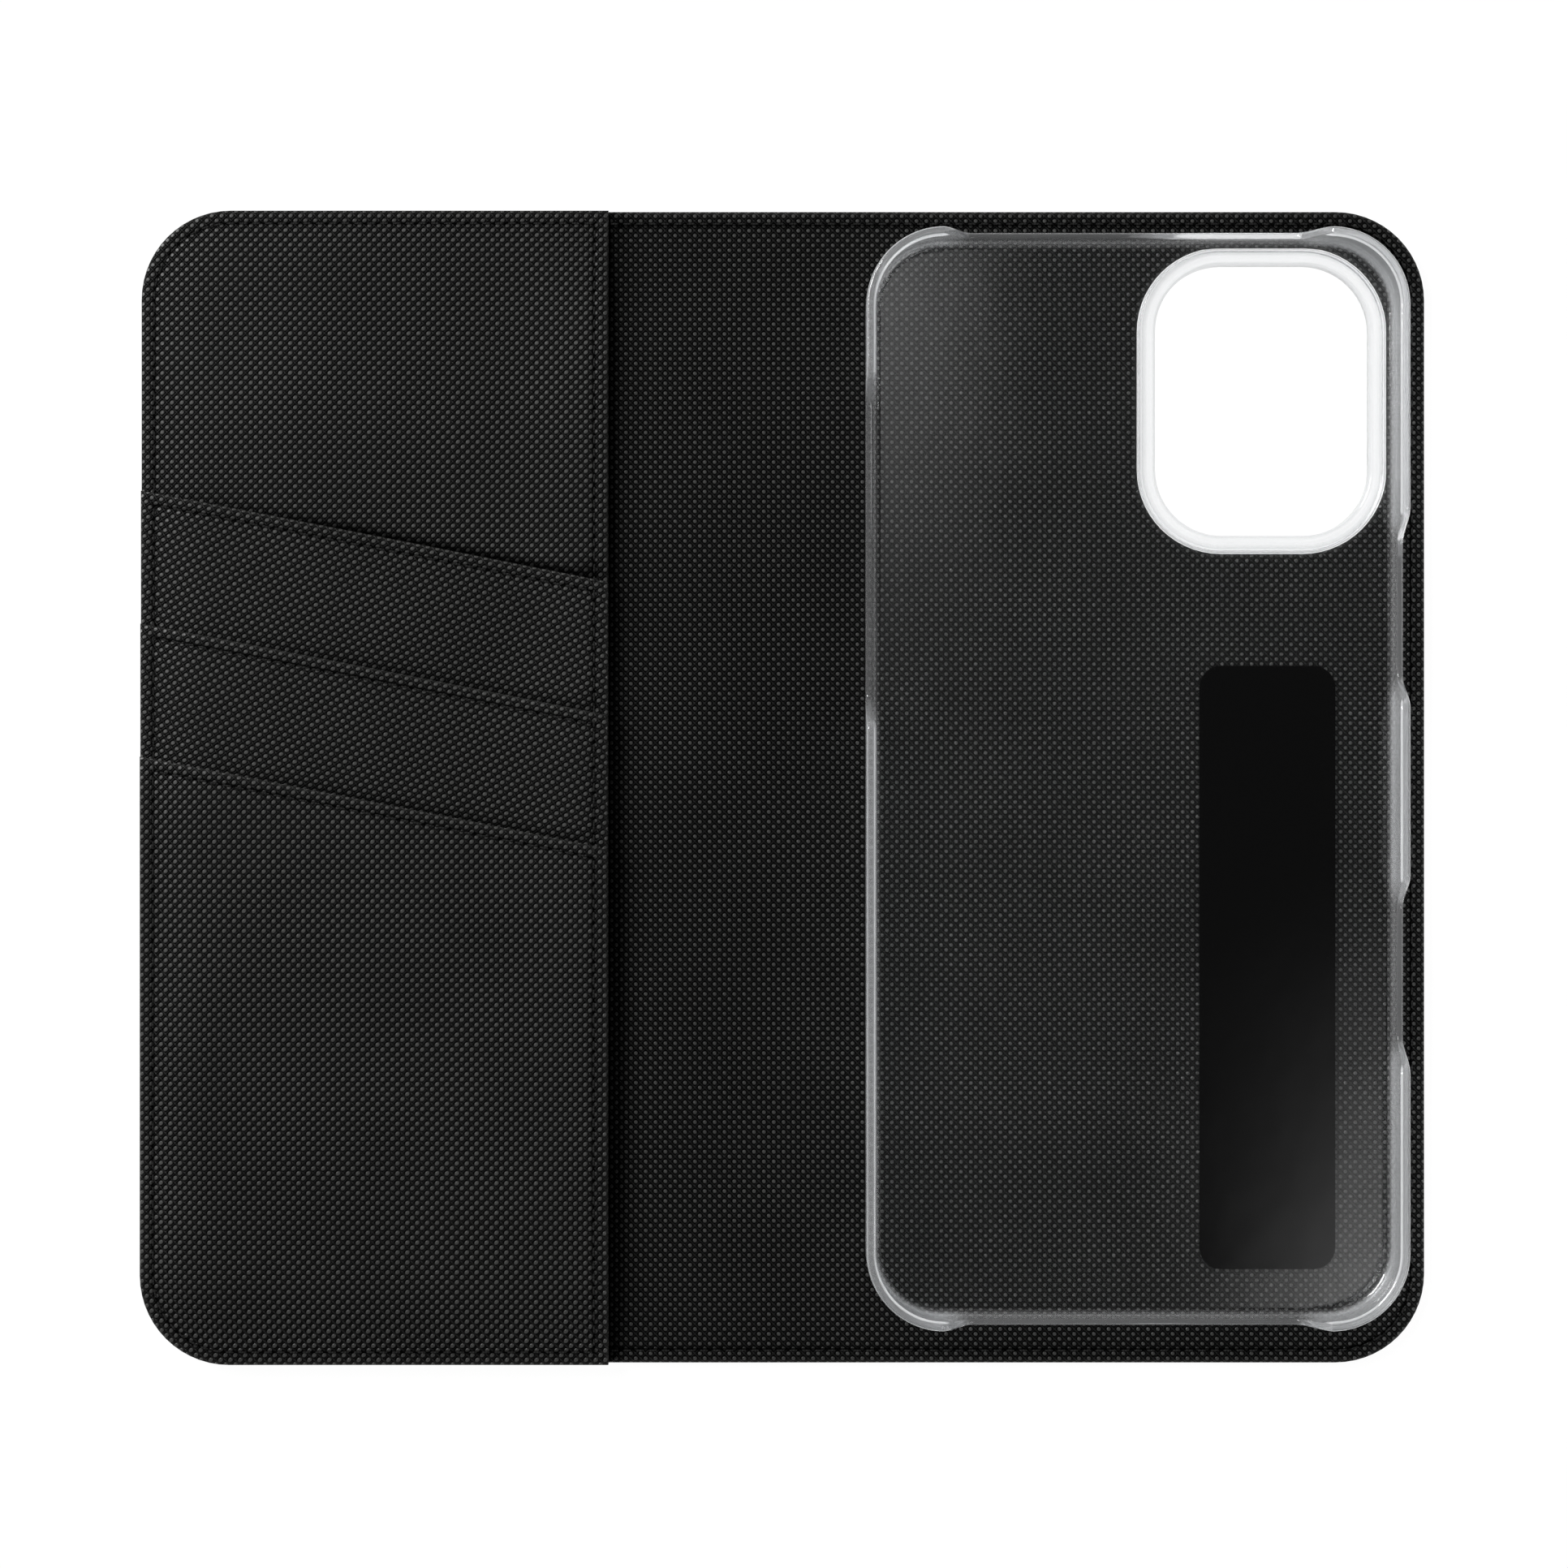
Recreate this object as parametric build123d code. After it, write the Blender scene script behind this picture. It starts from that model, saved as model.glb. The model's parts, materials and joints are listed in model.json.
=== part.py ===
from build123d import *
import os

# Folio wallet case for a phone, laid open and flat with its inside facing up.
# X runs across the open covers, Y up the page, Z out of the inside face.
# The origin is at the middle of the underside. All sizes are in millimetres.

# --- driving dimensions -------------------------------------------------

# The phone that the clear shell holds
phone_width = 71.6
phone_height = 147.6
phone_thickness = 7.8
phone_corner = 9.55

# The cards that the pockets hold
card_width = 54.0
card_height = 85.6

# Clear shell
phone_clearance = 0.15          # play between the phone and each wall
shell_wall = 0.9
shell_floor = 1.0
shell_lip_height = 0.4          # rim above the face of the phone
shell_lip_overhang = 0.45       # rim over the edge of the phone
shell_outer_fillet = 1.4
shell_inner_fillet = 1.2
low_wall_height = 1.8           # wall left standing in the cut-outs, above the floor
ramp_run = 3.3                  # length of the slope at each end of a cut-out
ramp_fillet = 1.5

# Cut-outs in the shell's walls: middle, measured from the shell's middle, and length at the low wall
left_cutout_middle = 31.1
left_cutout_length = 39.6
upper_right_cutout_middle = 23.2
upper_right_cutout_length = 18.2
lower_right_cutout_middle = -26.5
lower_right_cutout_length = 17.9
end_cutout_length = 44.4

# Camera window: the hole in the cover, and the ring of the shell that drops into it
window_width = 34.2
window_height = 42.0
window_corner = 11.5
window_from_shell_side = 2.0
window_from_shell_top = 1.8
ring_clearance = 0.3
ring_width = 2.1
ring_above_underside = 0.4

# Adhesive pad between the lining and the shell
pad_width = 18.7
pad_corner = 3.0
pad_thickness = 0.3
pad_from_shell_side = 9.0
pad_below_window = 15.5
pad_above_shell_end = 7.4

# Cover layers
skin_thickness = 0.5
board_thickness = 1.0
lining_thickness = 0.5
cover_corner = 12.3
turn_in = 3.2                   # width of the skin folded in round the boards
window_turn_in = 1.0

# Margins of cover round the shell
margin_at_top = 3.4
margin_at_bottom = 5.7
margin_at_side = 3.5
margin_at_spine = 3.7           # from the spine fold to the shell

# Folds
crease_from_shell_side = 21.5   # stand crease, from the shell's spine side
spine_fold_gap = 1.2            # material stops this far from each spine fold
crease_gap = 0.5                # and this far from the stand crease
board_fold_clearance = 0.6      # boards stop this much further back
closing_clearance = 0.8         # shell rim to front pocket with the case shut

# Pocket panel and card pockets on the front cover
panel_thickness = 0.9
cash_slot_height = 0.4
pocket_thickness = 0.6
card_slot_height = 0.25
card_side_slack = 6.6           # pocket width between stitches, less the card's width
card_proud = 12.0               # how far a card stands out of its pocket
pocket_floor_margin = 3.7       # cover's lower edge to the bottom of the front pocket
hem_pitch = 18.3                # from one pocket's mouth to the next
hem_angle = 11.1                # slope of the pocket mouths, down towards the spine
panel_hem_width = 1.9           # panel's folded edge to its stitch

# Thread
edge_stitch_inset = 1.8
hem_stitch_inset = 1.6
thread_width = 0.5
thread_height = 0.2
seam_allowance = 0.8            # from a stitch to the slot it closes
thread_clearance = 0.3          # between two lines of stitches

# --- sizes that follow --------------------------------------------------

lining_bottom = skin_thickness + board_thickness
lining_top = lining_bottom + lining_thickness
fold_height = lining_top / 2

pocket_names = ["upper", "middle", "lower"]
panel_top = lining_top + panel_thickness
stack_top = panel_top + pocket_thickness * len(pocket_names)

shell_side = phone_clearance + shell_wall
shell_width = phone_width + 2 * shell_side
shell_height = phone_height + 2 * shell_side
shell_corner = phone_corner + shell_side
shell_bottom = lining_top + pad_thickness
shell_floor_top = shell_bottom + shell_floor
phone_face = shell_floor_top + phone_thickness
shell_rim = phone_face + shell_lip_height
low_wall_top = shell_floor_top + low_wall_height

leaf_width = margin_at_spine + shell_width + margin_at_side
spine_width = (shell_rim - fold_height) + (stack_top - fold_height) + closing_clearance
cover_width = 2 * leaf_width + spine_width
cover_height = margin_at_bottom + shell_height + margin_at_top
cover_right = cover_width / 2
cover_left = -cover_right
cover_top = cover_height / 2
cover_bottom = -cover_top

fold_x = spine_width / 2
shell_left = fold_x + margin_at_spine
shell_right = shell_left + shell_width
shell_top = cover_top - margin_at_top
shell_low_end = shell_top - shell_height
shell_x = (shell_left + shell_right) / 2
shell_y = (shell_top + shell_low_end) / 2
crease_x = shell_left + crease_from_shell_side

window_x = shell_right - window_from_shell_side - window_width / 2
window_y = shell_top - window_from_shell_top - window_height / 2

panel_stitch_x = cover_left + edge_stitch_inset + card_width + card_side_slack
panel_right = panel_stitch_x + panel_hem_width
pocket_depth = card_height - card_proud
hem_x = (cover_left + panel_right) / 2
lowest_hem_y = cover_bottom + pocket_floor_margin + pocket_depth

tall = 4 * cover_width          # longer than anything it cuts

panels = {
    "front": (cover_left, -fold_x - spine_fold_gap),
    "spine": (-fold_x + spine_fold_gap, fold_x - spine_fold_gap),
    "flap": (fold_x + spine_fold_gap, crease_x - crease_gap),
    "back": (crease_x + crease_gap, cover_right),
}


# --- shapes used by several pieces --------------------------------------

def rounded_slab(width, height, corner, bottom, thickness):
    """A flat slab with rounded corners, centred on the origin in plan."""
    return Pos(0, 0, bottom) * extrude(RectangleRounded(width, height, corner), thickness)


def block(x_min, x_max, y_min, y_max, z_min, z_max):
    """A plain block between two corners."""
    size = Box(x_max - x_min, y_max - y_min, z_max - z_min)
    return Pos((x_min + x_max) / 2, (y_min + y_max) / 2, (z_min + z_max) / 2) * size


def cover_slab(inset, bottom, thickness):
    """The outline of the whole open cover, drawn in by an inset."""
    return rounded_slab(
        cover_width - 2 * inset, cover_height - 2 * inset, cover_corner - inset, bottom, thickness
    )


def column(x_min, x_max):
    """Everything between two X values."""
    return block(x_min, x_max, -tall, tall, -tall, tall)


def window_hole(grow):
    """The camera window through the cover, grown all round."""
    hole = rounded_slab(
        window_width + 2 * grow, window_height + 2 * grow, window_corner + grow, -tall, 2 * tall
    )
    return Pos(window_x, window_y, 0) * hole


def separate(shape):
    """The solids of a shape as one group."""
    return Compound(children=list(shape.solids()))


# --- cover layers, one set for each stiff panel --------------------------

def outer_skin(name):
    """Embossed skin under one panel, with its edge turned in round the board."""
    tray = cover_slab(0, 0, lining_bottom) - cover_slab(turn_in, skin_thickness, tall)
    if name == "back":
        around_window = window_hole(window_turn_in) & cover_slab(0, 0, lining_bottom)
        tray = tray + around_window - window_hole(0)
    return tray & column(*panels[name])


def board_ends(name):
    """The X range of a board, set back from the folds beside it."""
    x_min, x_max = panels[name]
    if x_min > cover_left:
        x_min += board_fold_clearance
    if x_max < cover_right:
        x_max -= board_fold_clearance
    return x_min, x_max


def stiffener(name):
    """Board between the skin and the lining."""
    board = cover_slab(turn_in, skin_thickness, board_thickness) & column(*board_ends(name))
    if name == "back":
        board = board - window_hole(window_turn_in)
    return board


def lining(name):
    """Embossed lining over one panel."""
    sheet = cover_slab(0, lining_bottom, lining_thickness) & column(*panels[name])
    if name == "back":
        sheet = sheet - window_hole(0)
    return sheet


# --- pockets on the front cover ------------------------------------------

def hem_y(index):
    """Height of a pocket mouth at the middle of the panel, uppermost pocket first."""
    return lowest_hem_y + hem_pitch * (len(pocket_names) - 1 - index)


def below_hem(index, drop):
    """Everything below a pocket's slanted mouth, lowered square to the slope."""
    half = Pos(0, -tall / 2 - drop, 0) * Box(tall, tall, tall)
    return Pos(hem_x, hem_y(index), 0) * Rot(0, 0, -hem_angle) * half


def layer_top(layer):
    """Top face of a layer: 0 is the lining, 1 the panel, 2 and up the pockets."""
    if layer == 0:
        return lining_top
    return panel_top + pocket_thickness * (layer - 1)


def layer_area(layer):
    """The plan of a layer as a tall column."""
    area = cover_slab(0, -tall, 2 * tall)
    if layer > 0:
        area = area & column(cover_left, panel_right)
    if layer > 1:
        area = area & below_hem(layer - 2, 0)
    return area


def exposed_area(layer):
    """The part of a layer that no further layer covers."""
    area = layer_area(layer)
    if layer < len(pocket_names) + 1:
        area = area - layer_area(layer + 1)
    return area


def cash_pocket_panel():
    """Panel that carries the card pockets, open towards the spine for notes."""
    sheet = layer_area(1) & block(-tall, tall, -tall, tall, lining_top, panel_top)
    seam = edge_stitch_inset + seam_allowance
    slot = cover_slab(seam, lining_top, cash_slot_height)
    return sheet - slot


def card_pocket(index):
    """One card pocket, sewn at its sides and foot and open at its slanted mouth."""
    bottom = layer_top(index + 1)
    sheet = layer_area(index + 2) & block(-tall, tall, -tall, tall, bottom, bottom + pocket_thickness)
    slot = block(
        cover_left + edge_stitch_inset + seam_allowance,
        panel_stitch_x - seam_allowance,
        hem_y(index) - pocket_depth,
        tall,
        bottom,
        bottom + card_slot_height,
    )
    return sheet - slot


# --- stitching -------------------------------------------------------------

def thread_on_layers(line, layers):
    """Lay a line of stitches, given as a tall column, on top of the layers it crosses."""
    pieces = []
    for layer in layers:
        top = layer_top(layer)
        level = block(-tall, tall, -tall, tall, top, top + thread_height)
        crossing = line & exposed_area(layer) & level
        pieces += list(crossing.solids())
    return Compound(children=pieces)


def edge_line(name):
    """The line of stitches that runs round the cover, within one panel."""
    outer = cover_slab(edge_stitch_inset - thread_width / 2, -tall, 2 * tall)
    inner = cover_slab(edge_stitch_inset + thread_width / 2, -tall, 2 * tall)
    return (outer - inner) & column(*panels[name])


def edge_stitching(name):
    """Perimeter stitches of one panel."""
    layers = range(len(pocket_names) + 2) if name == "front" else [0]
    return thread_on_layers(edge_line(name), layers)


def panel_edge_stitching():
    """Upright line of stitches beside the panel's folded edge."""
    inset = edge_stitch_inset + thread_width / 2 + thread_clearance
    line = block(
        panel_stitch_x - thread_width / 2,
        panel_stitch_x + thread_width / 2,
        cover_bottom + inset,
        cover_top - inset,
        -tall,
        tall,
    )
    return thread_on_layers(line, range(1, len(pocket_names) + 2))


def hem_stitching(index):
    """Stitches along one pocket's slanted mouth."""
    gap = thread_width / 2 + thread_clearance
    upper = below_hem(index, hem_stitch_inset - thread_width / 2)
    lower = below_hem(index, hem_stitch_inset + thread_width / 2)
    between = column(cover_left + edge_stitch_inset + gap, panel_stitch_x - gap)
    return thread_on_layers((upper - lower) & between, [index + 2])


# --- shell and pad -----------------------------------------------------------

def shell_body():
    """Open tray with rounded floor edges and a rim that laps over the phone."""
    outside = rounded_slab(shell_width, shell_height, shell_corner, shell_bottom, shell_rim - shell_bottom)
    outside = fillet(outside.edges().group_by(Axis.Z)[0], shell_outer_fillet)
    outside = fillet(outside.edges().group_by(Axis.Z)[-1], shell_lip_height)
    cavity_corner = phone_corner + phone_clearance
    cavity_width = phone_width + 2 * phone_clearance
    cavity_height = phone_height + 2 * phone_clearance
    cavity = rounded_slab(cavity_width, cavity_height, cavity_corner, shell_floor_top, phone_thickness)
    cavity = fillet(cavity.edges().group_by(Axis.Z)[0], shell_inner_fillet)
    mouth = rounded_slab(
        cavity_width - 2 * shell_lip_overhang,
        cavity_height - 2 * shell_lip_overhang,
        cavity_corner - shell_lip_overhang,
        shell_floor_top + shell_inner_fillet,
        tall,
    )
    return Pos(shell_x, shell_y, 0) * (outside - cavity - mouth)


def cutout(length):
    """A notch that leaves a low wall, with a slope at each end, drawn along X."""
    rise = shell_rim - low_wall_top
    half = length / 2
    slope = ramp_run / rise
    top = half + slope * 2 * rise
    corners = [(-half, 0), (half, 0), (top, 2 * rise), (-top, 2 * rise)]
    profile = make_face(Polyline(*corners, close=True))
    profile = fillet(profile.vertices().sort_by(Axis.Y)[0:2], ramp_fillet)
    depth = 2 * shell_corner
    notch = extrude(Plane.XZ * profile, depth / 2, both=True)
    return Pos(0, 0, low_wall_top) * notch


def shell_cutouts():
    """Every notch in the shell's walls, with where it lies and which way it runs."""
    side = Rot(0, 0, 90)
    return [
        Pos(shell_left, shell_y + left_cutout_middle, 0) * side * cutout(left_cutout_length),
        Pos(shell_right, shell_y + upper_right_cutout_middle, 0) * side * cutout(upper_right_cutout_length),
        Pos(shell_right, shell_y + lower_right_cutout_middle, 0) * side * cutout(lower_right_cutout_length),
        Pos(shell_x, shell_top, 0) * cutout(end_cutout_length),
        Pos(shell_x, shell_low_end, 0) * cutout(end_cutout_length),
    ]


def clear_shell():
    """Hard clear shell with its camera ring dropped into the window."""
    ring = rounded_slab(
        window_width - 2 * ring_clearance,
        window_height - 2 * ring_clearance,
        window_corner - ring_clearance,
        ring_above_underside,
        shell_floor_top - ring_above_underside,
    )
    hole_inset = ring_clearance + ring_width
    hole = rounded_slab(
        window_width - 2 * hole_inset,
        window_height - 2 * hole_inset,
        window_corner - hole_inset,
        -tall,
        2 * tall,
    )
    at_window = Pos(window_x, window_y, 0)
    shell = shell_body()
    for notch in shell_cutouts():
        shell = shell - notch
    return shell + at_window * ring - at_window * hole


def adhesive_pad():
    """Black pad that bonds the shell to the part of the cover beyond the crease."""
    top = window_y - window_height / 2 - pad_below_window
    bottom = shell_low_end + pad_above_shell_end
    right = shell_right - pad_from_shell_side
    pad = rounded_slab(pad_width, top - bottom, pad_corner, lining_top, pad_thickness)
    return Pos(right - pad_width / 2, (top + bottom) / 2, 0) * pad


# --- every piece by name --------------------------------------------------------

def all_pieces():
    pieces = {}
    for name in panels:
        pieces["outer_skin_" + name] = outer_skin(name)
        pieces["stiffener_" + name] = stiffener(name)
        pieces["lining_" + name] = lining(name)
        pieces["edge_stitching_" + name] = edge_stitching(name)
    pieces["cash_pocket_panel"] = cash_pocket_panel()
    pieces["panel_edge_stitching"] = panel_edge_stitching()
    for index, name in enumerate(pocket_names):
        pieces["card_pocket_" + name] = card_pocket(index)
        pieces["hem_stitching_" + name] = hem_stitching(index)
    pieces["clear_shell"] = clear_shell()
    pieces["adhesive_pad"] = adhesive_pad()
    return pieces


os.makedirs("parts", exist_ok=True)
for piece_name, piece in all_pieces().items():
    export_step(separate(piece), os.path.join("parts", piece_name + ".step"))

print("cover", cover_width, "x", cover_height, "spine", spine_width)
print("folds at x", -fold_x, fold_x, "z", fold_height, "crease at x", crease_x)
print("shell", shell_left, shell_right, shell_low_end, shell_top, shell_bottom, shell_rim)
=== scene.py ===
import json
import math

import bpy
import numpy as np
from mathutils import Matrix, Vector, geometry


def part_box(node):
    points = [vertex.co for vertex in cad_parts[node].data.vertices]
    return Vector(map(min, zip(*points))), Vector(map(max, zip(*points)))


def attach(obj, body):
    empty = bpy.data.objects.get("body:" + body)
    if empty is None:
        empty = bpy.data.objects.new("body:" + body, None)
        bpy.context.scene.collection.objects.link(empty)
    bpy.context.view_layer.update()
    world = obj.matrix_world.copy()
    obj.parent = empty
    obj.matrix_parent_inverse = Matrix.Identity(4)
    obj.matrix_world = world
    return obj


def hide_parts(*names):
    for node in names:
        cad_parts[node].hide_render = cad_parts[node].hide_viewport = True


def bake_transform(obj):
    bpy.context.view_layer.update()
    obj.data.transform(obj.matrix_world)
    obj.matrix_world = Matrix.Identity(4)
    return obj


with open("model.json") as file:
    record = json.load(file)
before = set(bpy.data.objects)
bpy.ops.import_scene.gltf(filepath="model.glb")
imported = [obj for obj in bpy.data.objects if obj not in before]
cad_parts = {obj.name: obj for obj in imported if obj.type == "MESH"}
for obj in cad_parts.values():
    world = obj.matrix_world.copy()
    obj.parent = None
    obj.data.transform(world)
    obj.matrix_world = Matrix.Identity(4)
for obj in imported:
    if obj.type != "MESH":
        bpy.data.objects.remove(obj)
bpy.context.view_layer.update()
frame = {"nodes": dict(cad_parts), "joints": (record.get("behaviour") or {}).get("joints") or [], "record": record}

# Every size below is in millimetres. mesh_object turns them into metres.
MM = 0.001

# --- places taken from the frame ---


def node_box(name):
    """Lowest and highest corner of a CAD node."""
    low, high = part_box(name)
    return [v / MM for v in low], [v / MM for v in high]


def joint_x(name):
    """X of a fold's axis."""
    for joint in frame["joints"]:
        if joint["name"] == name:
            return joint["pos_m"][0] / MM


def opening(name):
    """Middle and size of an opening's box in plan."""
    for entry in frame["record"]["physics"]["openings"]:
        if entry["name"] == name:
            low, high = entry["box_m"]
            middle = [(a + b) / 2 / MM for a, b in zip(low, high)]
            size = [(b - a) / MM for a, b in zip(low, high)]
            return middle, size


LEFT, BOTTOM = node_box("outer_skin_front")[0][:2]
RIGHT, TOP = node_box("outer_skin_back")[1][:2]
LINING_BOTTOM = node_box("lining_back")[0][2]
LINING_TOP = node_box("lining_back")[1][2]
CREASE_X = joint_x("stand_fold")
SPINE_X = joint_x("spine_fold")
FRONT_X = joint_x("front_fold")
FLAP_MIDDLE = (CREASE_X + SPINE_X) / 2
SPINE_MIDDLE = (SPINE_X + FRONT_X) / 2
PANEL_RIGHT = node_box("cash_pocket_panel")[1][0]
PANEL_TOP = node_box("cash_pocket_panel")[1][2]
PANEL_STITCH_X = sum(corner[0] for corner in node_box("panel_edge_stitching")) / 2
WINDOW_X, WINDOW_Y = opening("camera_window")[0][:2]
SHELL_LOW, SHELL_HIGH = node_box("clear_shell")
PAD_TOP = node_box("adhesive_pad")[1][2]
POCKETS = ["upper", "middle", "lower"]
MOUTHS = [node_box("card_pocket_" + label)[1][1] for label in POCKETS]  # Y of their left ends

# --- sizes of what is shown ---

COVER_CORNER = 12.3
WINDOW_WIDTH, WINDOW_HEIGHT, WINDOW_CORNER = 34.2, 42.0, 11.5
SKIN = 0.5                # thickness of the outer skin
TURN_IN = 3.15            # width of the skin folded in over the cover's edge
WINDOW_TURN_IN = 1.0
LAYER_GAP = 0.01          # between one layer and the next
LINING_INSET = 0.2        # lining's edge from the skin's edge
LINING_WINDOW_GAP = 0.15  # and the same at the camera window
POCKET_THICKNESS = 0.6
HEM_SLOPE = math.tan(math.radians(11.1))
EDGE_STITCH_INSET = 1.8
HEM_STITCH_INSET = 1.6
PANEL_HEM = PANEL_RIGHT - PANEL_STITCH_X
GROOVE_HALF = 0.3         # half the width of the groove pressed in by the stitches
WORN_WIDTH = 0.5          # how far in from an edge the leather is rubbed
STITCH_PITCH = 1.76
STITCH_LENGTH = 1.28
THREAD_RADIUS = 0.12
THREAD_TWIST = 2.6        # turns of the twist in a millimetre
SPINE_BEND = 2.5          # how far each side of a spine fold the leather bends
CREASE_BEND = 1.6         # and each side of the stand crease
FINE_STEP = 0.35          # mesh step where leather bends
COARSE_STEP = 2.8         # and where it stays flat
CORNER_CLEAR = 4.0        # no mesh points on an edge closer to its corners than this
FACE_CLEAR = 0.3          # nor in a face closer to its outline
EXTRA_CLEAR = 0.9         # nor in the regular grid closer to an extra point
SLANT_BOW = 0.08          # a slanted edge bows out by this much at its middle
POCKET_PUFF = 0.25        # how far a pocket's mouth stands open
PUFF_REACH = 22.0         # and how far below the mouth that fades away
PANEL_LIFT = 0.9          # how far the panel's free edge lifts
PANEL_LIFT_WIDTH = 15.0   # width of the strip that lifts
PANEL_LIFT_END = 18.0     # length over which it comes down at each end
SHADE_LEFT = 0.1          # strength of the painted shadow at a pocket's mouth, at its left end
SHADE_RIGHT = (0.95, 0.5, 0.5)  # and from its middle to its right end, for each pocket
SHADE_REACH = 1.7         # how far from the mouth the painted shadow reaches
SHADE_STEPS = (-0.4, 0.1, 0.6, 1.2, 2.0)  # distances above the mouth of the mesh points that hold it
SHADE_SPACING = 2.0       # and their spacing along it
PANEL_SHADE = 0.7         # strength of the painted shadow along the note panel's free edge
PANEL_SHADE_REACH = 4.5
EDGE_PRESS = 0.45         # share of the pocket stack's height lost at the seam round its edge
EDGE_PRESS_WIDTH = 8.0

# --- plan outlines ---

TINY = 1e-6
STRAIGHT = 0.02           # two edges that turn by less than this, in radians, count as one


def no_shade(x, y):
    """No painted shadow darkens the leather."""
    return 0.0


def smoothstep(t):
    """0 below 0, 1 above 1, and a smooth rise between."""
    t = min(1.0, max(0.0, t))
    return t * t * (3 - 2 * t)


def arc(cx, cy, radius, start, end, steps=14):
    """Points of an arc, angles in degrees."""
    angles = [math.radians(start + (end - start) * k / steps) for k in range(steps + 1)]
    return [(cx + radius * math.cos(a), cy + radius * math.sin(a)) for a in angles]


def rounded_rectangle(x0, x1, y0, y1, corner):
    """Outline of a rounded rectangle, anticlockwise."""
    points = arc(x1 - corner, y0 + corner, corner, -90, 0)
    points += arc(x1 - corner, y1 - corner, corner, 0, 90)
    points += arc(x0 + corner, y1 - corner, corner, 90, 180)
    return points + arc(x0 + corner, y0 + corner, corner, 180, 270)


def cover_region(x0, x1, inset=0.0):
    """Outline of the cover between two X values. Its cut edges have weight 0 and its own edges weight 1."""
    low, high, corner = BOTTOM + inset, TOP - inset, COVER_CORNER - inset
    right, left = RIGHT - inset - corner, LEFT + inset + corner
    points, weights = [(x1, low), (x1, high)], [0, 1]
    if x1 == RIGHT:
        points = arc(right, low + corner, corner, -90, 0) + arc(right, high - corner, corner, 0, 90)
        weights = [1] * len(points)
    if x0 > LEFT:
        return points + [(x0, high), (x0, low)], weights + [0, 1]
    points += arc(left, high - corner, corner, 90, 180) + arc(left, low + corner, corner, 180, 270)
    return points, weights + [1] * (len(points) - len(weights))


def bend_steps(x0, x1):
    """X positions of the mesh between two values, close together at the folds."""
    marks = {x0, x1}
    for fold, reach in ((CREASE_X, CREASE_BEND), (SPINE_X, SPINE_BEND), (FRONT_X, SPINE_BEND)):
        for x in steps_between(fold - reach, fold + reach, FINE_STEP):
            if x0 < x < x1:
                marks.add(x)
    marks = sorted(marks)
    out = []
    for a, b in zip(marks, marks[1:]):
        out += steps_between(a, b, COARSE_STEP)[:-1]
    return out + [x1]


def steps_between(low, high, step):
    """Evenly spaced values from low to high."""
    count = max(1, round((high - low) / step))
    return [low + (high - low) * k / count for k in range(count + 1)]


def subdivide(points, weights, xs):
    """Splits long edges: level ones at the given X positions and others evenly, with a slight bow outward
    where they slant. Cut edges, of weight 0, stay whole.
    """
    out, out_weights = [], []
    for k, (p, w) in enumerate(zip(points, weights)):
        q = points[(k + 1) % len(points)]
        length = math.dist(p, q)
        if w == 0 or length < 2 * CORNER_CLEAR:
            parts = [0.0]
        else:
            if abs(p[1] - q[1]) < TINY:
                inner = sorted((x - p[0]) / (q[0] - p[0]) for x in xs)
            else:
                inner = steps_between(0, 1, COARSE_STEP / length)
            margin = CORNER_CLEAR / length
            parts = [0.0] + [t for t in inner if margin < t < 1 - margin]
        nx, ny = edge_normal(p, q)
        slanted = min(abs(nx), abs(ny)) > TINY
        for t in parts:
            bow = SLANT_BOW * 4 * t * (1 - t) if slanted else 0.0
            out.append((p[0] + (q[0] - p[0]) * t + nx * bow, p[1] + (q[1] - p[1]) * t + ny * bow))
        out_weights += [w] * len(parts)
    return out, out_weights


def edge_normal(p, q):
    """Outward unit normal of an edge of an anticlockwise outline."""
    length = math.dist(p, q)
    return (q[1] - p[1]) / length, (p[0] - q[0]) / length


def corner_shifts(points, weights):
    """How each point moves for each unit of inset. Each edge moves inward by its own weight."""
    shifts = []
    for k, p in enumerate(points):
        a = edge_normal(points[k - 1], p)
        b = edge_normal(p, points[(k + 1) % len(points)])
        wa, wb = weights[k - 1], weights[k]
        det = a[0] * b[1] - a[1] * b[0]
        if abs(det) < STRAIGHT:
            shifts.append((-(a[0] * wa + b[0] * wb) / 2, -(a[1] * wa + b[1] * wb) / 2))
        else:
            shifts.append(((wb * a[1] - wa * b[1]) / det, (wa * b[0] - wb * a[0]) / det))
    return shifts


def hole_shifts(points):
    """The same for a hole, whose edges move outward."""
    return [(-x, -y) for x, y in corner_shifts(points, [1] * len(points))]


def shifted(points, shifts, inset):
    """An outline drawn in by an inset."""
    return [(p[0] + s[0] * inset, p[1] + s[1] * inset) for p, s in zip(points, shifts)]


def inside(points, outline):
    """For each point, whether it is inside a closed outline."""
    x, y = points[:, 0:1], points[:, 1:2]
    a = np.array(outline)
    b = np.roll(a, -1, axis=0)
    crosses = (a[:, 1] > y) != (b[:, 1] > y)
    rise = np.where(b[:, 1] == a[:, 1], 1.0, b[:, 1] - a[:, 1])
    at = (b[:, 0] - a[:, 0]) * (y - a[:, 1]) / rise + a[:, 0]
    return (crosses & (x < at)).sum(axis=1) % 2 == 1


def distance_to(points, outline):
    """For each point, its distance to a closed outline."""
    a = np.array(outline)
    along = np.roll(a, -1, axis=0) - a
    squared = (along ** 2).sum(axis=1)
    best = np.full(len(points), 1e9)
    for start, run, length in zip(a, along, squared):
        t = np.clip(((points - start) @ run) / length, 0, 1)
        best = np.minimum(best, np.hypot(*(points - start - t[:, None] * run).T))
    return best


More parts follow.
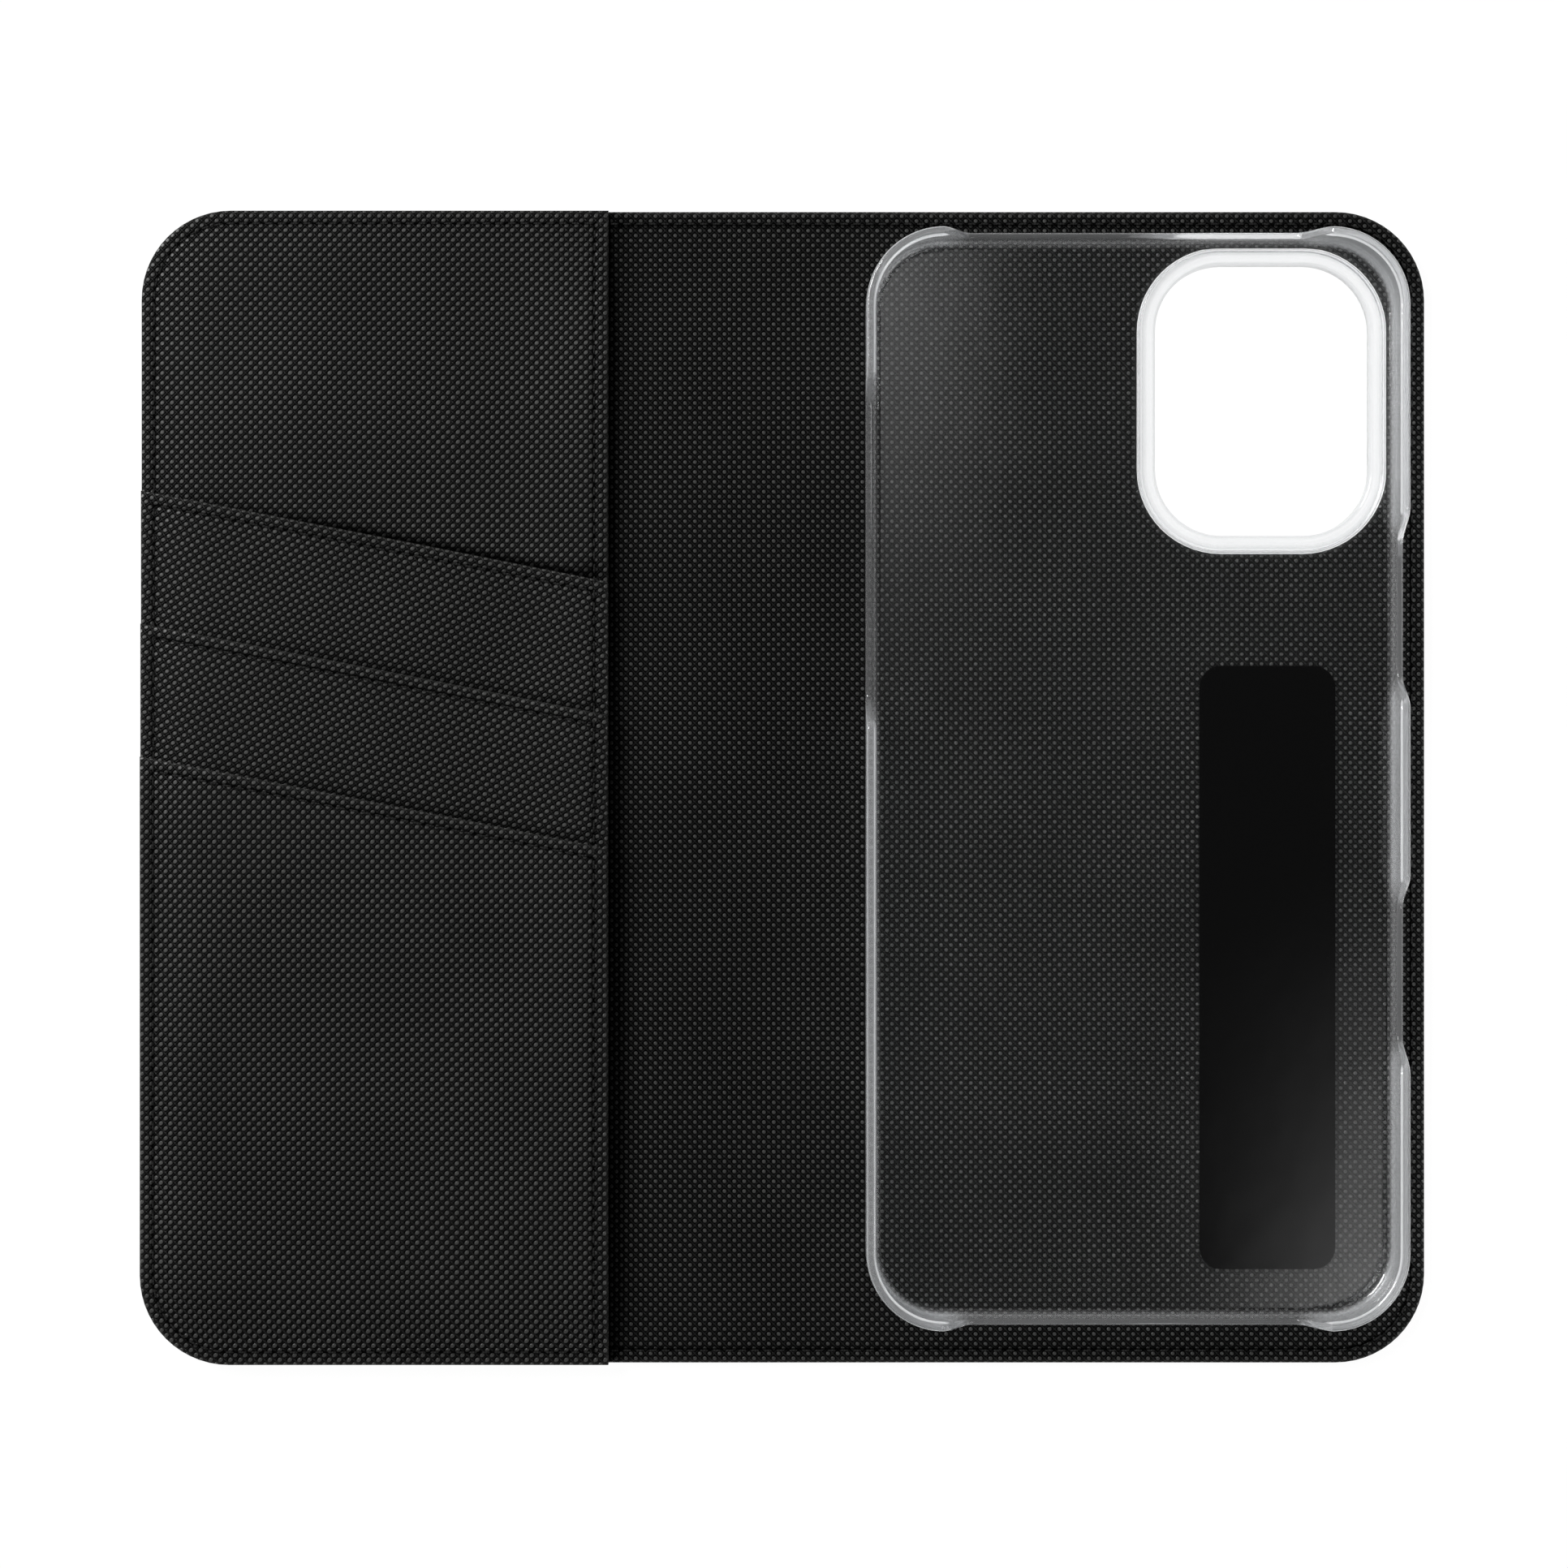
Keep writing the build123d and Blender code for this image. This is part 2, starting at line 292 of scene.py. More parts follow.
def inner_points(outline, holes, xs, ys, clear, extra=()):
    """Grid points and extra ones, well inside an outline and outside its holes."""
    grid = [(x, y) for x in xs for y in ys]
    grid = [p for p in grid if all(math.dist(p, q) > EXTRA_CLEAR for q in extra)]
    grid = np.array(grid + list(extra))
    keep = inside(grid, outline) & (distance_to(grid, outline) > clear)
    for hole in holes:
        keep &= ~inside(grid, hole) & (distance_to(grid, hole) > clear)
    return [tuple(p) for p in grid[keep]]


INSIDE_OUTLINE = 1        # makes delaunay_2d_cdt keep only what its outermost loop encloses


def fill(outline, holes, points, ids, flip):
    """Triangles between an outline and its holes, through inner points. ids are the numbers of all these."""
    coords, edges = [], []
    for loop in [outline] + holes:
        first = len(coords)
        coords += loop
        edges += [(first + k, first + (k + 1) % len(loop)) for k in range(len(loop))]
    coords += points
    made = geometry.delaunay_2d_cdt([Vector(c) for c in coords], edges, [], INSIDE_OUTLINE, TINY, True)
    if len(made[0]) != len(coords):
        raise ValueError("an outline crosses itself or two points coincide")
    faces = [[made[3][v][0] for v in face] for face in made[2]]
    middles = np.array([np.mean([coords[v] for v in face], axis=0) for face in faces])
    keep = np.full(len(faces), True)
    for hole in holes:
        keep &= ~inside(middles, hole)
    order = -1 if flip else 1
    return [[ids[v] for v in face[::order]] for face, wanted in zip(faces, keep) if wanted]


# --- meshes ---

SMOOTH_ANGLE = math.radians(50)


def mesh_object(name, verts, faces, material, **attributes):
    """A smooth-shaded object from points in millimetres, with vector attributes for its material."""
    mesh = bpy.data.meshes.new(name)
    mesh.from_pydata([(x * MM, y * MM, z * MM) for x, y, z in verts], [], faces)
    for label, values in attributes.items():
        layer = mesh.attributes.new(label, "FLOAT_VECTOR", "POINT")
        layer.data.foreach_set("vector", [c for v in values for c in v])
    mesh.polygons.foreach_set("use_smooth", [True] * len(mesh.polygons))
    mesh.set_sharp_from_angle(angle=SMOOTH_ANGLE)
    mesh.materials.append(material)
    made = bpy.data.objects.new(name, mesh)
    bpy.context.scene.collection.objects.link(made)
    return made


def ring_quads(a, b, flip=False, weights=None):
    """Quads that join two closed loops of point numbers, except across edges of weight 0."""
    quads = []
    for k in range(len(a)):
        n = (k + 1) % len(a)
        if weights is None or weights[k] != 0:
            quad = (a[k], b[k], b[n], a[n])
            quads.append(quad[::-1] if flip else quad)
    return quads


class Slab:
    """A closed sheet over a plan outline, with a profile that goes round its edge.

    A profile is a list of (inset, height), from the upper face, out round the edge and in to the lower
    face. shape(x, y, height) gives the true height of a point. The attribute named weave holds flat
    leather coordinates, unrolled round the edge from the upper face or from the lower one, and the wear
    and painted shade: 1 at a worn edge, -1 for painted shade in the groove under a row of stitches, and
    less by shade(x, y) for a painted shadow.
    """

    def __init__(self, shape=lambda x, y, height: height, unroll_from_top=True, turn=0.0, shade=no_shade):
        self.shape, self.shade = shape, shade
        self.unroll_from_top, self.turn = unroll_from_top, turn
        self.verts, self.faces, self.weave = [], [], []

    def add(self, plan, height, flat, wear_and_shade):
        """Adds a run of points and returns their numbers."""
        first = len(self.verts)
        self.verts += [(x, y, self.shape(x, y, height)) for x, y in plan]
        c, s = math.cos(self.turn), math.sin(self.turn)
        for (x, y), place in zip(flat, plan):
            # The third value is the wear, less the painted shadow that shade gives.
            self.weave.append((x * c - y * s, x * s + y * c, wear_and_shade - self.shade(*place)))
        return list(range(first, first + len(plan)))

    def unrolled_insets(self, profile):
        """For each point of a profile, the inset that it would have if the edge were laid flat."""
        order = profile if self.unroll_from_top else profile[::-1]
        insets = [order[0][0]]
        for (i0, z0), (i1, z1) in zip(order, order[1:]):
            insets.append(insets[-1] - math.hypot(i1 - i0, z1 - z0))
        return insets if self.unroll_from_top else insets[::-1]

    def strips(self, points, shifts, weights, profile, outward):
        """The strips that follow a profile round one outline. Returns the first and last loops."""
        insets = self.unrolled_insets(profile)
        loops = []
        for (inset, height), unrolled in zip(profile, insets):
            # Rubbed wear near the edge, less a painted shade in the groove under the stitches.
            in_groove = 1 - smoothstep(abs(inset - EDGE_STITCH_INSET) / GROOVE_HALF)
            wear_and_shade = max(0.0, 1.0 - inset / WORN_WIDTH) - in_groove
            flat = shifted(points, shifts, unrolled)
            loops.append(self.add(shifted(points, shifts, inset), height, flat, wear_and_shade))
        for a, b in zip(loops, loops[1:]):
            self.faces += ring_quads(a, b, not outward, weights)
        for k in range(len(points)):
            if weights[k] == 0:
                n = (k + 1) % len(points)
                self.faces.append([loop[k] for loop in loops] + [loop[n] for loop in reversed(loops)])
        return loops[0], loops[-1]

    def build(
        self, name, outline, weights, profile, xs, ys, material, hole=None, hole_profile=None, extra=()
    ):
        """Makes the object. xs and ys are the grid of both faces, and extra is more points of the upper."""
        points, weights = subdivide(outline, weights, xs)
        shifts = corner_shifts(points, weights)
        ends = [self.strips(points, shifts, weights, profile, True)]
        rims = [(points, shifts, profile)]
        if hole:
            away = hole_shifts(hole)
            ends.append(self.strips(hole, away, [1] * len(hole), hole_profile, False))
            rims.append((hole, away, hole_profile))
        for side, last in ((0, False), (-1, True)):
            loops = [shifted(p, s, prof[side][0]) for p, s, prof in rims]
            inner = inner_points(loops[0], loops[1:], xs, ys, FACE_CLEAR, () if last else extra)
            ids = [v for end in ends for v in end[side]]
            ids += self.add(inner, profile[side][1], inner, 0.0)
            self.faces += fill(loops[0], loops[1:], inner, ids, last)
        return mesh_object(name, self.verts, self.faces, material, weave=self.weave)


# --- materials ---

WEAVE_PERIOD = 1.357
# Radii and widths are shares of the discs' spacing, heights are in millimetres.
DISC_FLAT = 0.16
DISC_RADIUS = 0.40
DISC_HEIGHT = 0.17
RIDGE_HALF = 0.15
RIDGE_HEIGHT = 0.10
CROSS_RIDGE_HEIGHT = 0.05
CROSSING_RADIUS = 0.2
CROSSING_HEIGHT = 0.04
GRAIN_HEIGHT = 0.03


class Nodes:
    """Short ways of adding nodes to a tree."""

    def __init__(self, tree):
        self.tree = tree

    def add(self, kind, **settings):
        node = self.tree.nodes.new("ShaderNode" + kind)
        for key, value in settings.items():
            setattr(node, key, value)
        return node

    def put(self, socket, value):
        """Links a socket, or sets a plain value."""
        if isinstance(value, bpy.types.NodeSocket):
            self.tree.links.new(value, socket)
        else:
            socket.default_value = value

    def math(self, operation, a, b=0.0, clamp=False):
        node = self.add("Math", operation=operation, use_clamp=clamp)
        self.put(node.inputs[0], a)
        self.put(node.inputs[1], b)
        return node.outputs[0]

    def plus(self, a, b):
        return self.math("ADD", a, b)

    def minus(self, a, b):
        return self.math("SUBTRACT", a, b)

    def times(self, a, b):
        return self.math("MULTIPLY", a, b)

    def ramp(self, value, low, high, to_low=0.0, to_high=1.0, kind="LINEAR"):
        """Maps a value from one range to another, held at the ends."""
        node = self.add("MapRange", interpolation_type=kind)
        for socket, v in zip(node.inputs, (value, low, high, to_low, to_high)):
            self.put(socket, v)
        return node.outputs[0]

    def mix(self, factor, a, b):
        """Mixes two colours."""
        node = self.add("Mix", data_type="RGBA")
        self.put(node.inputs["Factor"], factor)
        self.put(node.inputs[6], a)
        self.put(node.inputs[7], b)
        return node.outputs[2]

    def noise(self, vector, scale, detail=3.0):
        node = self.add("TexNoise")
        self.put(node.inputs["Vector"], vector)
        node.inputs["Scale"].default_value = scale
        node.inputs["Detail"].default_value = detail
        return node.outputs["Fac"]

    def attribute(self, name):
        return self.add("Attribute", attribute_name=name).outputs["Vector"]

    def split(self, vector):
        """X, Y and Z of a vector."""
        node = self.add("SeparateXYZ")
        self.put(node.inputs[0], vector)
        return list(node.outputs)

    def bump(self, shader, height, distance):
        """Gives a shader a bumpy surface. Returns its normal."""
        node = self.add("Bump")
        node.inputs["Distance"].default_value = distance
        self.put(node.inputs["Height"], height)
        self.put(shader.inputs["Normal"], node.outputs[0])
        return node.outputs[0]

    def hill(self, distance, radius):
        """1 at no distance, falling as a parabola to 0 at the radius."""
        share = self.math("DIVIDE", distance, radius)
        return self.math("SUBTRACT", 1.0, self.times(share, share), clamp=True)

    def hypot(self, a, b):
        return self.math("SQRT", self.plus(self.times(a, a), self.times(b, b)))


def new_material(name):
    """A material with one Principled shader."""
    material = bpy.data.materials.new(name)
    material.use_nodes = True
    tree = material.node_tree
    return material, Nodes(tree), tree.nodes["Principled BSDF"]


def weave_height(n, vector, stretch):
    """The embossed weave: flat-topped discs, stretched along one diagonal, between crossing ridges.

    Returns its height in millimetres, how much of a disc's top a place is, and the wear and painted shade at the
    place.
    """
    x, y, wear_and_shade = n.split(vector)
    u = n.math("DIVIDE", n.plus(x, y), WEAVE_PERIOD)
    v = n.math("DIVIDE", n.minus(x, y), WEAVE_PERIOD)
    du, dv = n.math("PINGPONG", u, 0.5), n.math("PINGPONG", v, 0.5)
    from_disc = n.hypot(n.math("DIVIDE", du, stretch), dv)
    disc = n.ramp(from_disc, DISC_FLAT, DISC_RADIUS, 1.0, 0.0, "SMOOTHSTEP")
    ridge = n.times(n.hill(n.minus(0.5, du), RIDGE_HALF), RIDGE_HEIGHT)
    cross_ridge = n.times(n.hill(n.minus(0.5, dv), RIDGE_HALF), CROSS_RIDGE_HEIGHT)
    ridge = n.math("MAXIMUM", ridge, cross_ridge)
    to_crossing = n.hypot(n.minus(0.5, du), n.minus(0.5, dv))
    crossing = n.times(n.hill(to_crossing, CROSSING_RADIUS), CROSSING_HEIGHT)
    height = n.math("MAXIMUM", n.times(disc, DISC_HEIGHT), n.plus(ridge, crossing))
    return height, disc, wear_and_shade


def leather(name, top, roughness, stretch):
    """Black leather, embossed with a weave. top is the colour of the discs, lighter than the pits and ridges as a
    painted highlight.

    Its gloss is all in the coat, which covers the discs and ridges.
    """
    material, n, shader = new_material(name)
    place = n.attribute("weave")
    height, disc, wear_and_shade = weave_height(n, place, stretch)
    grain = n.noise(place, 4.0, 4.0)
    patches = n.noise(place, 0.06, 2.0)
    # Painted shade and highlight: near black down in the pits, where shade falls, and lightest on the disc tops.
    colour = n.mix(n.ramp(height, 0.0, RIDGE_HEIGHT), (*PIT, 1), (*RIDGE, 1))
    colour = n.mix(n.ramp(disc, 0.35, 0.95), colour, (*top, 1))
    colour = n.mix(n.ramp(wear_and_shade, 0.0, 1.0, 0.0, 0.3), colour, (*[1.5 * c for c in top], 1))
    shade = n.times(n.ramp(patches, 0.3, 0.7, 0.8, 1.15), n.ramp(grain, 0.25, 0.75, 0.75, 1.2))
    # Painted shade: darker and without gloss in the stitch grooves and the painted shadows, where the third weave
    # value is below 0.
    painted_shade_factor = n.ramp(wear_and_shade, -0.8, 0.0, 0.12, 1.0)
    tint = n.add("VectorMath", operation="SCALE")
    n.put(tint.inputs[0], colour)
    n.put(tint.inputs["Scale"], n.times(shade, painted_shade_factor))
    n.put(shader.inputs["Base Color"], tint.outputs[0])
    rough = n.ramp(height, 0.0, DISC_HEIGHT, roughness + 0.35, roughness)
    n.put(shader.inputs["Roughness"], n.plus(rough, n.ramp(grain, 0.3, 0.7, -0.04, 0.05)))
    shader.inputs["Specular IOR Level"].default_value = 0.0
    gloss = n.math("MAXIMUM", n.ramp(disc, 0.1, 0.8), n.ramp(height, 0.02, RIDGE_HEIGHT, 0.0, 0.5))
    n.put(shader.inputs["Coat Weight"], n.times(gloss, painted_shade_factor))
    shader.inputs["Coat Roughness"].default_value = 0.36
    normal = n.bump(shader, n.plus(height, n.times(grain, GRAIN_HEIGHT)), MM)
    n.put(shader.inputs["Coat Normal"], normal)
    return material


def thread_material(name):
    """Black twisted thread. The attribute named thread is (millimetres along it, turns round it, 0)."""
    material, n, shader = new_material(name)
    along, around, _ = n.split(n.attribute("thread"))
    twist = n.plus(n.times(along, THREAD_TWIST), around)
    strand = n.math("PINGPONG", twist, 0.5)
    # Painted shade: the thread is darker in the hollows between its strands.
    colour = n.mix(n.ramp(strand, 0, 0.5), (0.001, 0.001, 0.001, 1), (0.012, 0.012, 0.011, 1))
    n.put(shader.inputs["Base Color"], colour)
    n.put(shader.inputs["Roughness"], n.ramp(strand, 0, 0.5, 0.75, 0.5))
    n.bump(shader, n.times(strand, 0.12), MM)
    shader.inputs["Specular IOR Level"].default_value = 0.2
    shader.inputs["Sheen Weight"].default_value = 0.1
    return material


def grained_material(name, scale, detail, dark, light, roughness, specular, height):
    """A dull material with fine grain, such as pressed board or foam."""
    material, n, shader = new_material(name)
    grain = n.noise(n.add("TexCoord").outputs["Object"], scale, detail)
    n.put(shader.inputs["Base Color"], n.mix(grain, (*dark, 1), (*light, 1)))
    n.put(shader.inputs["Roughness"], n.ramp(grain, 0.3, 0.7, *roughness))
    shader.inputs["Specular IOR Level"].default_value = specular
    n.bump(shader, grain, height)
    return material


def clear_material(name):
    """Clear moulded polycarbonate, whose shadow is faint.

    The attribute named moulded is (painted milkiness, 0, 0), from 0 on the floor to 1 on the high walls: a milky
    grey that paints the light and shade which the clear walls and the ring's edges get from bent light.
    """
    material, n, shader = new_material(name)
    painted_milk = n.split(n.attribute("moulded"))[0]
    haze = n.noise(n.add("TexCoord").outputs["Object"], 60.0, 3.0)
    # Painted light and shade: where the plastic is painted milky it turns grey and lets less through, in place of
    # the light its walls and edges bend.
    n.put(shader.inputs["Base Color"], n.mix(painted_milk, (0.97, 0.975, 0.98, 1), (0.78, 0.79, 0.80, 1)))
    rough = n.plus(n.ramp(haze, 0.3, 0.7, 0.0, 0.03), n.ramp(painted_milk, 0.0, 1.0, 0.03, 0.12))
    n.put(shader.inputs["Roughness"], rough)
    n.put(shader.inputs["Transmission Weight"], n.ramp(painted_milk, 0.0, 1.0, 1.0, 0.8))
    shader.inputs["IOR"].default_value = 1.55
    n.bump(shader, haze, 0.02 * MM)
    through = n.add("BsdfTransparent")
    through.inputs["Color"].default_value = (0.9, 0.91, 0.92, 1)
    mix = n.add("MixShader")
    n.put(mix.inputs[0], n.add("LightPath").outputs["Is Shadow Ray"])
    n.put(mix.inputs[1], shader.outputs[0])
    n.put(mix.inputs[2], through.outputs[0])
    n.put(material.node_tree.nodes["Material Output"].inputs["Surface"], mix.outputs[0])
    return material


PIT, RIDGE = (0.0006, 0.0006, 0.0006), (0.006, 0.006, 0.0057)  # colours of the weave's pits and ridges, near black in the pits as painted shade
SKIN_LEATHER = leather("skin_leather", (0.048, 0.048, 0.046), 0.42, 1.0)
LINING_LEATHER = leather("lining_leather", (0.048, 0.048, 0.046), 0.42, 1.0)
POCKET_LEATHER = leather("pocket_leather", (0.052, 0.052, 0.050), 0.40, 1.3)
THREAD = thread_material("black_thread")
BOARD = grained_material(
    "pressed_board", 900.0, 6.0, (0.16, 0.14, 0.12), (0.30, 0.27, 0.23), (0.8, 0.95), 0.5, 0.1 * MM
)
PAD = grained_material(
    "black_adhesive", 2500.0, 3.0, [0.0004] * 3, [0.0012] * 3, (0.7, 0.85), 0.05, 0.02 * MM
)
CLEAR = clear_material("clear_polycarbonate")

# --- cover: skin and lining ---

ALONG = steps_between(BOTTOM, TOP, COARSE_STEP)

SKIN_PROFILE = [
    (TURN_IN, SKIN - LAYER_GAP), (TURN_IN, LINING_BOTTOM - LAYER_GAP), (0.6, LINING_BOTTOM),
    (0.22, LINING_BOTTOM - 0.06), (0.05, LINING_BOTTOM - 0.25), (0.0, LINING_BOTTOM / 2), (0.04, 0.38),
    (0.16, 0.16), (0.38, 0.04), (0.7, 0.0), (1.45, 0.0),
    (1.6, 0.06), (EDGE_STITCH_INSET, 0.24), (2.0, 0.06), (2.15, 0.0),
    (2.6, 0.0),
]
SKIN_HOLE_PROFILE = [
    (WINDOW_TURN_IN, SKIN - LAYER_GAP), (WINDOW_TURN_IN, LINING_BOTTOM - LAYER_GAP),
    (0.4, LINING_BOTTOM), (0.1, LINING_BOTTOM - 0.12), (0.0, LINING_BOTTOM - 0.4), (0.0, 0.4),
    (0.12, 0.12), (0.4, 0.0),
]
LINING_HOLE_PROFILE = [
    (0.8, LINING_TOP), (0.3, LINING_TOP - 0.02), (0.06, LINING_TOP - 0.14), (0.0, LINING_TOP - 0.3),
    (0.05, LINING_BOTTOM + 0.08), (0.3, LINING_BOTTOM + LAYER_GAP),
]


def layer_profile(bottom, top):
    """Profile of a leather layer, pressed in along the stitches that run round its edge."""
    middle = (bottom + top) / 2
    return [
        (2.8, top), (2.2, top - 0.01), (1.95, top - 0.06), (EDGE_STITCH_INSET, top - 0.12),
        (1.65, top - 0.06), (1.35, top), (0.8, top + 0.01), (0.4, top - 0.03),
        (0.16, top - 0.1), (0.03, top - 0.22), (0.0, middle), (0.04, bottom + 0.12),
        (0.2, bottom + LAYER_GAP), (2.8, bottom + LAYER_GAP),
    ]


def window_outline(grow):
    """Outline of the camera window, anticlockwise."""
    half_x, half_y = WINDOW_WIDTH / 2 + grow, WINDOW_HEIGHT / 2 + grow
    xs, ys = (WINDOW_X - half_x, WINDOW_X + half_x), (WINDOW_Y - half_y, WINDOW_Y + half_y)
    return rounded_rectangle(*xs, *ys, WINDOW_CORNER + grow)


class Stretch:
    """A length of the cover that bends at one fold.

    bodies, the two that it joins, are not used. The names of the CAD nodes that it replaces end with ends.
    """

    def __init__(self, name, x0, x1, fold, bend, bodies, ends):
        self.name, self.x0, self.x1 = name, x0, x1
        self.fold, self.bend, self.bodies, self.ends = fold, bend, bodies, ends

    def join(self, piece):
        """Bakes a piece's transform into its mesh."""
        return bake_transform(piece)


FRONT_ENDS = ["front", "spine"]
STRETCHES = [
    Stretch("spine_front", LEFT, SPINE_MIDDLE, FRONT_X, SPINE_BEND, ("front_cover", "spine"), FRONT_ENDS),
    Stretch("flap_spine", SPINE_MIDDLE, FLAP_MIDDLE, SPINE_X, SPINE_BEND, ("spine", "back_flap"), ["flap"]),
    Stretch("back_flap", FLAP_MIDDLE, RIGHT, CREASE_X, CREASE_BEND, ("back_flap", "back_cover"), ["back"]),
]


def panel_shade(x, y):
    """The painted shadow on the lining along the note panel's free edge."""
    return PANEL_SHADE * (1 - smoothstep(abs(x - PANEL_RIGHT) / PANEL_SHADE_REACH))


def cover_piece(stretch, kind):
    """The skin or the lining of one stretch of the cover."""
    xs = bend_steps(stretch.x0, stretch.x1)
    if kind == "skin":
        outline, weights = cover_region(stretch.x0, stretch.x1)
        slab = Slab(unroll_from_top=False)
        profile, hole_profile, hole = SKIN_PROFILE, SKIN_HOLE_PROFILE, window_outline(0)
        material, node = SKIN_LEATHER, "outer_skin_"
    else:
        outline, weights = cover_region(stretch.x0, stretch.x1, LINING_INSET)
        # The lining gets a painted shadow beside the note panel's free edge.
        slab = Slab(shade=panel_shade)
        profile = layer_profile(LINING_BOTTOM, LINING_TOP)
        hole_profile, hole = LINING_HOLE_PROFILE, window_outline(LINING_WINDOW_GAP)
        material, node = LINING_LEATHER, "lining_"
    if stretch.x1 != RIGHT:
        hole = None
    name = kind + "_" + stretch.name
    piece = slab.build(name, outline, weights, profile, xs, ALONG, material, hole, hole_profile)
    stretch.join(piece)
    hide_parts(*[node + end for end in stretch.ends])
    return piece


for stretch in STRETCHES:
    for kind in ("skin", "lining"):
        cover_piece(stretch, kind)

# --- front cover: note panel and card pockets ---


def mouth_y(index, x):
    """Y of a pocket's slanted mouth."""
    return MOUTHS[index] - (x - LEFT) * HEM_SLOPE


def puff(index, x, y):
    """How far the leather near one pocket's mouth stands off what is behind it."""
    across = (x - LEFT - EDGE_STITCH_INSET) / (PANEL_STITCH_X - LEFT - EDGE_STITCH_INSET)
    below = mouth_y(index, x) - y
    if not 0 < across < 1 or below < -1:
        return 0.0
    return POCKET_PUFF * math.sin(math.pi * across) ** 2 * math.exp(-(below / PUFF_REACH) ** 2)


def panel_lift(x, y):
    """How far the panel's free edge lifts off the lining, most at mid height and not at its ends."""
    across = smoothstep((x - PANEL_RIGHT + PANEL_LIFT_WIDTH) / PANEL_LIFT_WIDTH)
    from_end = min(y - BOTTOM, TOP - y)
    return PANEL_LIFT * across * smoothstep(from_end / PANEL_LIFT_END)


def edge_distance(x, y):
    """How far a point is in from the cover's outer edge."""
    over_x = abs(x - (LEFT + RIGHT) / 2) - (RIGHT - LEFT) / 2 + COVER_CORNER
    over_y = abs(y - (BOTTOM + TOP) / 2) - (TOP - BOTTOM) / 2 + COVER_CORNER
    outside = math.hypot(max(over_x, 0), max(over_y, 0))
    return COVER_CORNER - outside - min(max(over_x, over_y), 0)


def front_shape(layer):
    """Where a layer on the front cover lies: lifted in its middle, and pressed flat at the edge seam."""

    def shape(x, y, height):
        raised = height + panel_lift(x, y) + sum(puff(k, x, y) for k in range(layer - 1))
        pressed = EDGE_PRESS * (1 - smoothstep(edge_distance(x, y) / EDGE_PRESS_WIDTH))
        return raised - (raised - LINING_TOP) * pressed

    return shape


def mouth_shade(index):
    """The painted shadow on a layer along the mouth of the pocket that lies on it, stronger to the right."""

    def shade(x, y):
        across = smoothstep((x - LEFT) / (PANEL_RIGHT - LEFT) / 0.5)
        strength = SHADE_LEFT + (SHADE_RIGHT[index] - SHADE_LEFT) * across
        return strength * (1 - smoothstep(abs(y - mouth_y(index, x)) / SHADE_REACH))

    return shade


def mouth_points(index):
    """Mesh points beside a pocket's mouth, on the layer under it, that hold its painted shadow."""
    xs = steps_between(LEFT + 2 * EDGE_STITCH_INSET, PANEL_RIGHT - 3.0, SHADE_SPACING)
    return [(x, mouth_y(index, x) + above) for x in xs for above in SHADE_STEPS]


def layer_top(layer):
    """Flat height of a layer's top: 0 is the lining, 1 the panel, 2 and up the pockets."""
    if layer == 0:
        return LINING_TOP
    return PANEL_TOP + POCKET_THICKNESS * (layer - 1)


# Weights of the edges whose stitches lie at other insets than those round the cover.
RIGHT_HEM = PANEL_HEM / EDGE_STITCH_INSET
MOUTH_HEM = HEM_STITCH_INSET / EDGE_STITCH_INSET
STEP_OUT = 0.03           # each pocket's turned edge stands out this much further


def front_outline(index):
    """Outline of the note panel, index None, or of a pocket, with the weight of each edge."""
    out = 0.0 if index is None else STEP_OUT * (index + 1)
    left, low, corner = LEFT - out, BOTTOM, COVER_CORNER
    points = [(PANEL_RIGHT, low)]
    weights = [RIGHT_HEM]
    if index is None:
        points += [(PANEL_RIGHT, TOP)]
        points += arc(left + corner, TOP - corner, corner, 90, 180)
    else:
        points += [(PANEL_RIGHT, mouth_y(index, PANEL_RIGHT)), (left, mouth_y(index, left))]
        weights += [MOUTH_HEM, 1]
    points += arc(left + corner, low + corner, corner, 180, 270)
    weights += [1] * (len(points) - len(weights))
    return points, weights


# Angle between each pocket's weave and the cover's.
WEAVE_TURNS = {"upper": math.atan(HEM_SLOPE), "middle": math.atan(HEM_SLOPE), "lower": 0.0}
FRONT_XS = steps_between(LEFT, PANEL_RIGHT, COARSE_STEP)


def front_piece(index):
    """The note panel, index None, or one pocket."""
    if index is None:
        name, node, turn, layer, bottom = "note_panel", "cash_pocket_panel", 0.0, 1, LINING_TOP
        flat_height = TOP - BOTTOM
    else:
        label = POCKETS[index]
        name, node = label + "_card_pocket", "card_pocket_" + label
        turn, layer = WEAVE_TURNS[label], index + 2
        bottom = layer_top(layer - 1)
        flat_height = mouth_y(index, LEFT) - BOTTOM
    outline, weights = front_outline(index)
    # The layer under a pocket gets a painted shadow along that pocket's mouth.
    shade, extra = no_shade, ()
    on_top = layer - 1
    if on_top < len(POCKETS):
        shade, extra = mouth_shade(on_top), mouth_points(on_top)
    slab = Slab(shape=front_shape(layer), turn=turn, shade=shade)
    profile = layer_profile(bottom, layer_top(layer))
    piece = slab.build(name, outline, weights, profile, FRONT_XS, ALONG, POCKET_LEATHER, extra=extra)
    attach(piece, "front_cover")
    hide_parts(node)
    width = PANEL_RIGHT - LEFT
    area = width * flat_height
    if index is not None:
        area -= width * width * HEM_SLOPE / 2
    return piece


for index in [None] + list(range(len(POCKETS))):
    front_piece(index)

# --- stitching ---

STITCH_RINGS = 7
STITCH_SIDES = 8
STITCH_TAPER = 0.75       # share of a stitch's section lost at its ends
STITCH_DIVE = 0.16        # how far its ends go down
STITCH_SINK = 0.03        # how far its middle lies below the leather's flat face
SEAM_END = 0.7            # gap between two rows of stitches where they meet


def surface(x, y):
    """Height of the topmost layer."""
    if x > PANEL_RIGHT:
        return layer_top(0)
    layer = 1
    for index in range(len(POCKETS)):
        if y < mouth_y(index, x):
            layer = index + 2
    return front_shape(layer)(x, y, layer_top(layer))


